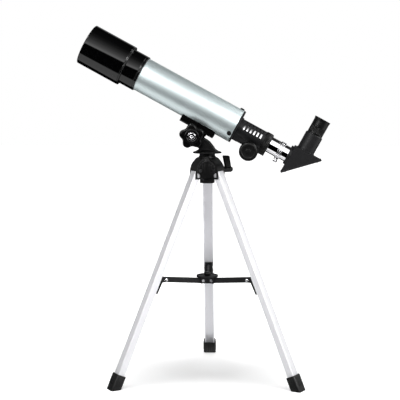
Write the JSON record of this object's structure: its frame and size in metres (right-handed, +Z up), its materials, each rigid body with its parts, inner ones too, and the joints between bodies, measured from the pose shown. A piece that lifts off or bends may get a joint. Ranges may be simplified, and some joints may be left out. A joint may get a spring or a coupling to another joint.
{
  "type": "tabletop refractor telescope on tripod",
  "caption": "Small silver refractor telescope with dew shield, slotted focuser, mirror diagonal and eyepiece, on a yoke head and a folding tabletop tripod.",
  "frame": {"origin": "on the floor, below the centre of the bounding box", "axes": "+Z up, the tube lies in the XZ plane with its front end towards -X, the tilt knob faces -Y"},
  "size_m": [0.3954, 0.2726, 0.5559],
  "materials": {
    "black_gloss": "gloss moulded plastic",
    "black_satin": "satin moulded plastic",
    "tube_silver": "satin silver lacquer",
    "chrome": "polished",
    "steel": "zinc plated",
    "brass": "machined",
    "leg_aluminium": "clear anodised",
    "foot_rubber": "matte",
    "lens_glass": "coated",
    "mirror": "polished"
  },
  "bodies": {
    "tripod_head": {"hub_body": "black_satin", "hub_cap": "black_satin", "leg_pins": "steel"},
    "pan_lock": {"pan_lock_screw": "steel", "pan_lock_lever": "black_satin"},
    "yoke": {"yoke": "black_satin", "tilt_nut": "steel", "tilt_washer": "steel", "pan_spindle": "black_satin", "spindle_washer": "steel", "spindle_screw": "steel"},
    "tilt_clamp": {"tilt_bolt": "chrome", "tilt_knob": "black_satin"},
    "optical_tube": {"dew_shield": "black_gloss", "objective_cell": "black_gloss", "crown_lens": "lens_glass", "flint_lens": "lens_glass", "lens_spacer": "steel", "lens_retaining_ring": "black_gloss", "main_tube": "tube_silver", "light_baffle": "black_satin", "focuser_body": "black_gloss", "rear_screws": "black_satin", "pinion_cover": "black_gloss", "pinion_cover_screws": "steel", "tube_saddle": "black_satin", "saddle_screws": "steel"},
    "focus_shaft": {"pinion_shaft": "steel", "pinion_gear": "brass", "focus_knob_near": "black_gloss", "focus_knob_far": "black_gloss"},
    "drawtube": {"drawtube": "chrome", "focus_rack": "black_satin", "drawtube_clamp_ring": "chrome"},
    "thumbscrew": {"diagonal_thumbscrew": "chrome"},
    "diagonal": {"diagonal_barrel": "chrome", "diagonal_housing": "black_satin", "diagonal_cover": "black_satin", "diagonal_mirror": "mirror"},
    "eyepiece": {"eyepiece_body": "black_gloss", "eyepiece_barrel": "chrome", "field_lens": "lens_glass", "eye_lens": "lens_glass"},
    "leg_back": {"leg_back": "leg_aluminium", "foot_back": "foot_rubber", "leg_bracket_back": "black_satin"},
    "leg_left": {"leg_left": "leg_aluminium", "foot_left": "foot_rubber", "leg_bracket_left": "black_satin"},
    "leg_right": {"leg_right": "leg_aluminium", "foot_right": "foot_rubber", "leg_bracket_right": "black_satin"},
    "spreader": {"spreader_plate": "black_satin", "spreader_knob": "black_satin", "spreader_pins": "steel"},
    "arm_back": {"spreader_arm_back": "black_satin"},
    "arm_left": {"spreader_arm_left": "black_satin"},
    "arm_right": {"spreader_arm_right": "black_satin"}
  },
  "joints": [
    {"name": "pan", "type": "hinge", "parent": "tripod_head", "child": "yoke", "pos_m": [0.00608, -0.03552, 0.354], "axis": [0, 0, 1], "continuous": true},
    {"name": "pan_lock_turn", "type": "hinge", "parent": "tripod_head", "child": "pan_lock", "pos_m": [0.03648, -0.01623, 0.331], "axis": [0.8443, 0.5358, 0], "range_deg": [0, 75]},
    {"name": "tilt", "type": "hinge", "parent": "yoke", "child": "optical_tube", "pos_m": [-0.01642, -0.03552, 0.385], "axis": [0, 1, 0], "range_deg": [-40, 12]},
    {"name": "tilt_clamp_turn", "type": "hinge", "parent": "yoke", "child": "tilt_clamp", "pos_m": [-0.01642, -0.05552, 0.385], "axis": [0, -1, 0], "range_deg": [0, 360]},
    {"name": "focus_slide", "type": "slide", "parent": "optical_tube", "child": "drawtube", "axis": [0.878, 0, -0.4787], "range_m": [-0.014, 0.05]},
    {"name": "focus_turn", "type": "hinge", "parent": "optical_tube", "child": "focus_shaft", "pos_m": [0.07119, -0.03552, 0.36206], "axis": [0, 1, 0], "range_deg": [-134, 478]},
    {"name": "thumbscrew_turn", "type": "hinge", "parent": "drawtube", "child": "thumbscrew", "pos_m": [0.11273, -0.03552, 0.34841], "axis": [-0.4787, 0, -0.878], "range_deg": [0, 360]},
    {"name": "diagonal_turn", "type": "hinge", "parent": "drawtube", "child": "diagonal", "pos_m": [0.12434, -0.03552, 0.36031], "axis": [0.878, 0, -0.4787], "continuous": true},
    {"name": "eyepiece_slide", "type": "slide", "parent": "diagonal", "child": "eyepiece", "axis": [0.4787, 0, 0.878], "range_m": [0, 0.022]},
    {"name": "leg_fold_back", "type": "hinge", "parent": "tripod_head", "child": "leg_back", "pos_m": [0.0053, -0.01703, 0.331], "axis": [-0.9991, -0.0419, 0], "range_deg": [0, 20]},
    {"name": "leg_fold_left", "type": "hinge", "parent": "tripod_head", "child": "leg_left", "pos_m": [-0.00954, -0.04543, 0.331], "axis": [0.5358, -0.8443, 0], "range_deg": [0, 20]},
    {"name": "leg_fold_right", "type": "hinge", "parent": "tripod_head", "child": "leg_right", "pos_m": [0.02247, -0.04409, 0.331], "axis": [0.4633, 0.8862, 0], "range_deg": [0, 20]},
    {"name": "spreader_rise", "type": "slide", "parent": "tripod_head", "child": "spreader", "axis": [0, 0, 1], "range_m": [0, 0.06424]},
    {"name": "arm_swing_back", "type": "hinge", "parent": "spreader", "child": "arm_back", "pos_m": [0.00568, -0.02603, 0.1562], "axis": [-0.9991, -0.0419, 0], "range_deg": [0, 92.04]},
    {"name": "arm_swing_left", "type": "hinge", "parent": "spreader", "child": "arm_left", "pos_m": [-0.00194, -0.04061, 0.1562], "axis": [0.5358, -0.8443, 0], "range_deg": [0, 92.04]},
    {"name": "arm_swing_right", "type": "hinge", "parent": "spreader", "child": "arm_right", "pos_m": [0.0145, -0.03992, 0.1562], "axis": [0.4633, 0.8862, 0], "range_deg": [0, 92.04]}
  ],
  "couplings": [
    {"joint": "focus_turn", "follows": "focus_slide", "rad_per_m": 166.67},
    {"joint": "leg_fold_left", "follows": "leg_fold_back", "ratio": 1},
    {"joint": "leg_fold_right", "follows": "leg_fold_back", "ratio": 1},
    {"joint": "spreader_rise", "follows": "leg_fold_back", "m_per_rad": 0.18346},
    {"joint": "arm_swing_back", "follows": "leg_fold_back", "ratio": 4.592},
    {"joint": "arm_swing_left", "follows": "leg_fold_back", "ratio": 4.592},
    {"joint": "arm_swing_right", "follows": "leg_fold_back", "ratio": 4.592}
  ]
}
